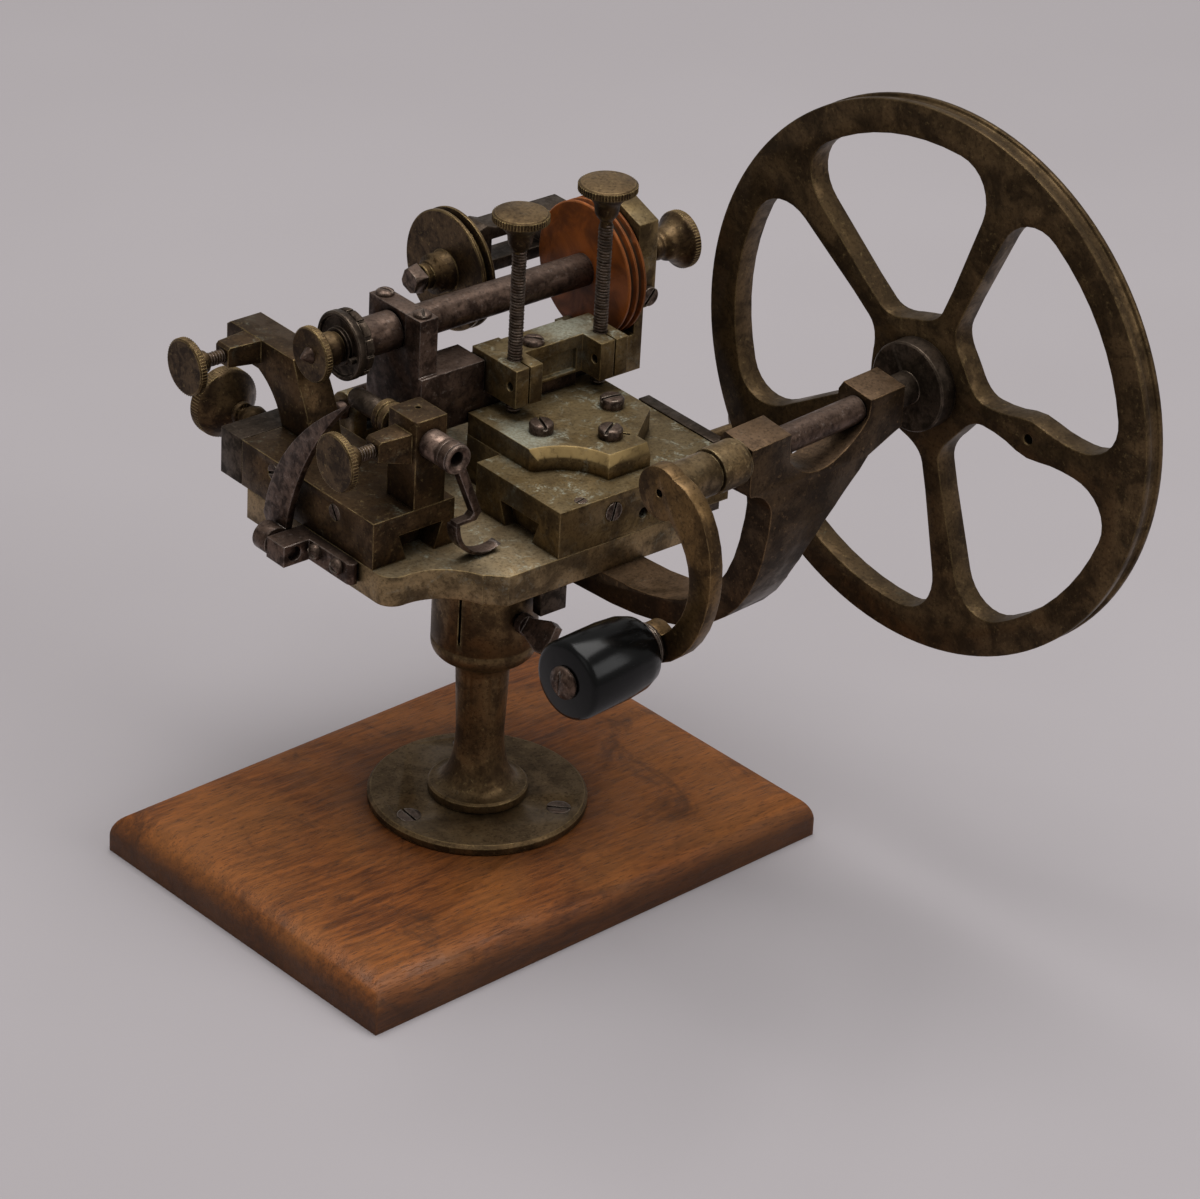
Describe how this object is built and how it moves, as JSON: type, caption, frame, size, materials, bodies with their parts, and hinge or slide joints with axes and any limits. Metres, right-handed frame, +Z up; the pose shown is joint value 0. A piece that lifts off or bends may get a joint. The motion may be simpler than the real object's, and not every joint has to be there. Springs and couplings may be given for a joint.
{
  "type": "rounding-up tool",
  "caption": "Hand-driven bench tool that rounds up clock wheel teeth: cutter spindle, work carriage, cam saddle and hand wheel on a wooden stand.",
  "frame": {"origin": "on the column's axis at the underside of the wooden stand", "axes": "+X along the cutter spindle towards its tail, +Y away from the operator, +Z up"},
  "size_m": [0.1804, 0.2289, 0.2233],
  "materials": {
    "stand_wood": "worn, waxed, darkened edges",
    "column_brass": "aged, dull",
    "plate_brass": "aged, green and grey deposits",
    "carriage_brass": "aged, dark",
    "knob_brass": "worn bright on edges",
    "bracket_bronze": "aged brown",
    "wheel_brass": "aged, dull",
    "grey_steel": "aged, lightly rusted",
    "dark_steel": "dark, oily",
    "screw_steel": "aged",
    "fibre": "turned vulcanised fibre",
    "ebony": "polished black"
  },
  "bodies": {
    "stand": {"wooden_base": "stand_wood", "base_screws": "screw_steel", "column_flange": "column_brass", "column_stem": "column_brass"},
    "drum_screw": {"column_clamp_screw": "grey_steel"},
    "table": {"main_plate": "plate_brass", "foot_clamp": "dark_steel", "carriage_rail": "carriage_brass", "saddle_rail": "plate_brass", "horn_bracket": "grey_steel", "horn_screws": "screw_steel", "hinge_block": "plate_brass", "hinge_pin": "grey_steel", "feed_end_plate": "dark_steel", "thrust_bar": "dark_steel", "thrust_bar_screws": "screw_steel", "crank_bracket": "bracket_bronze"},
    "horn": {"centring_horn": "grey_steel"},
    "carriage": {"carriage_slide": "carriage_brass", "gib_screws": "screw_steel", "runner_post": "carriage_brass", "front_sleeve": "grey_steel", "rear_arm": "carriage_brass"},
    "carriage_feed": {"carriage_screw": "knob_brass"},
    "front_point": {"front_runner": "dark_steel", "runner_collars": "knob_brass"},
    "rear_point": {"rear_runner": "grey_steel"},
    "front_thumb": {"front_clamp_screw": "knob_brass"},
    "rear_thumb": {"rear_clamp_screw": "knob_brass"},
    "claw": {"claw_lever": "grey_steel"},
    "saddle_group": {"saddle": "plate_brass", "saddle_screws": "screw_steel", "cam_plate": "plate_brass", "cam_screws": "screw_steel"},
    "saddle_feed": {"lead_screw": "knob_brass"},
    "head": {"swing_frame": "grey_steel", "bearing_cap": "grey_steel", "cap_screws": "screw_steel", "crosspiece": "plate_brass", "crosspiece_screw": "screw_steel", "tail_upright": "plate_brass", "upright_screw": "screw_steel", "idler_arm": "dark_steel", "idler_stud": "screw_steel"},
    "left_stop": {"stop_screw_left": "knob_brass"},
    "right_stop": {"stop_screw_right": "knob_brass"},
    "tail_point": {"tail_screw": "knob_brass"},
    "cutter_spindle": {"spindle": "grey_steel", "spindle_pulley": "fibre", "cutter_flange": "dark_steel"},
    "cutter_nut": {"spindle_nut": "knob_brass"},
    "idler": {"idler_pulley": "knob_brass"},
    "crank": {"crank_shaft": "grey_steel", "shaft_collar": "knob_brass", "shaft_sleeve": "grey_steel", "crank_arm": "bracket_bronze", "handle_pin": "grey_steel", "wheel_boss": "dark_steel", "hand_wheel": "wheel_brass"},
    "crank_handle": {"handle": "ebony"}
  },
  "joints": [
    {"name": "column_swivel", "type": "hinge", "parent": "stand", "child": "table", "pos_m": [0, 0, 0.08], "axis": [0, 0, 1], "range_deg": [0, 300]},
    {"name": "drum_screw_turn", "type": "hinge", "parent": "stand", "child": "drum_screw", "pos_m": [0, -0.02, 0.0751], "axis": [0, -1, 0], "range_deg": [0, 360]},
    {"name": "horn_swing", "type": "hinge", "parent": "table", "child": "horn", "pos_m": [-0.0514, 0.024, 0.0975], "axis": [0, -1, 0], "range_deg": [0, 70]},
    {"name": "carriage_screw_turn", "type": "hinge", "parent": "table", "child": "carriage_feed", "pos_m": [-0.0305, 0.055, 0.1103], "axis": [0, 1, 0], "range_deg": [0, 2880]},
    {"name": "carriage_slide_y", "type": "slide", "parent": "table", "child": "carriage", "axis": [0, 1, 0], "range_m": [-0.008, 0]},
    {"name": "front_runner_slide", "type": "slide", "parent": "carriage", "child": "front_point", "axis": [0, 1, 0], "range_m": [-0.002, 0.004]},
    {"name": "rear_runner_slide", "type": "slide", "parent": "carriage", "child": "rear_point", "axis": [0, 1, 0], "range_m": [-0.004, 0.003]},
    {"name": "front_clamp_turn", "type": "hinge", "parent": "carriage", "child": "front_thumb", "pos_m": [-0.045, -0.0009, 0.132], "axis": [-1, 0, 0], "range_deg": [0, 360]},
    {"name": "rear_clamp_turn", "type": "hinge", "parent": "carriage", "child": "rear_thumb", "pos_m": [-0.045, 0.0642, 0.132], "axis": [-1, 0, 0], "range_deg": [0, 360]},
    {"name": "claw_swing", "type": "hinge", "parent": "carriage", "child": "claw", "pos_m": [-0.02555, -0.0153, 0.132], "axis": [0, -1, 0], "range_deg": [-3, 5]},
    {"name": "lead_screw_turn", "type": "hinge", "parent": "table", "child": "saddle_feed", "pos_m": [0.07, -0.003, 0.1026], "axis": [1, 0, 0], "range_deg": [0, 2160]},
    {"name": "saddle_slide_x", "type": "slide", "parent": "table", "child": "saddle_group", "axis": [1, 0, 0], "range_m": [-0.006, 0]},
    {"name": "head_tilt", "type": "hinge", "parent": "table", "child": "head", "pos_m": [0.008, 0.053, 0.1115], "axis": [-1, 0, 0], "range_deg": [0, 45]},
    {"name": "left_stop_lift", "type": "slide", "parent": "head", "child": "left_stop", "axis": [0, 0, 1], "range_m": [0, 0.01]},
    {"name": "right_stop_lift", "type": "slide", "parent": "head", "child": "right_stop", "axis": [0, 0, 1], "range_m": [0, 0.01]},
    {"name": "tail_screw_turn", "type": "hinge", "parent": "head", "child": "tail_point", "pos_m": [0.08, 0.0331, 0.1436], "axis": [1, 0, 0], "range_deg": [0, 360]},
    {"name": "spindle_spin", "type": "hinge", "parent": "head", "child": "cutter_spindle", "pos_m": [0, 0.0331, 0.1436], "axis": [1, 0, 0], "continuous": true},
    {"name": "spindle_nut_turn", "type": "hinge", "parent": "cutter_spindle", "child": "cutter_nut", "pos_m": [-0.03, 0.0331, 0.1436], "axis": [1, 0, 0], "range_deg": [-360, 0]},
    {"name": "idler_spin", "type": "hinge", "parent": "head", "child": "idler", "pos_m": [0.029, 0.058, 0.1408], "axis": [1, 0, 0], "continuous": true},
    {"name": "crank_spin", "type": "hinge", "parent": "table", "child": "crank", "pos_m": [0.00695, -0.0811, 0.1483], "axis": [0.9963, 0.0854, 0], "continuous": true},
    {"name": "handle_spin", "type": "hinge", "parent": "crank", "child": "crank_handle", "pos_m": [0.00695, -0.0811, 0.1058], "axis": [0.9963, 0.0854, 0], "continuous": true}
  ],
  "couplings": [
    {"joint": "carriage_screw_turn", "follows": "carriage_slide_y", "rad_per_m": -6283.2},
    {"joint": "lead_screw_turn", "follows": "saddle_slide_x", "rad_per_m": -6283.2}
  ]
}
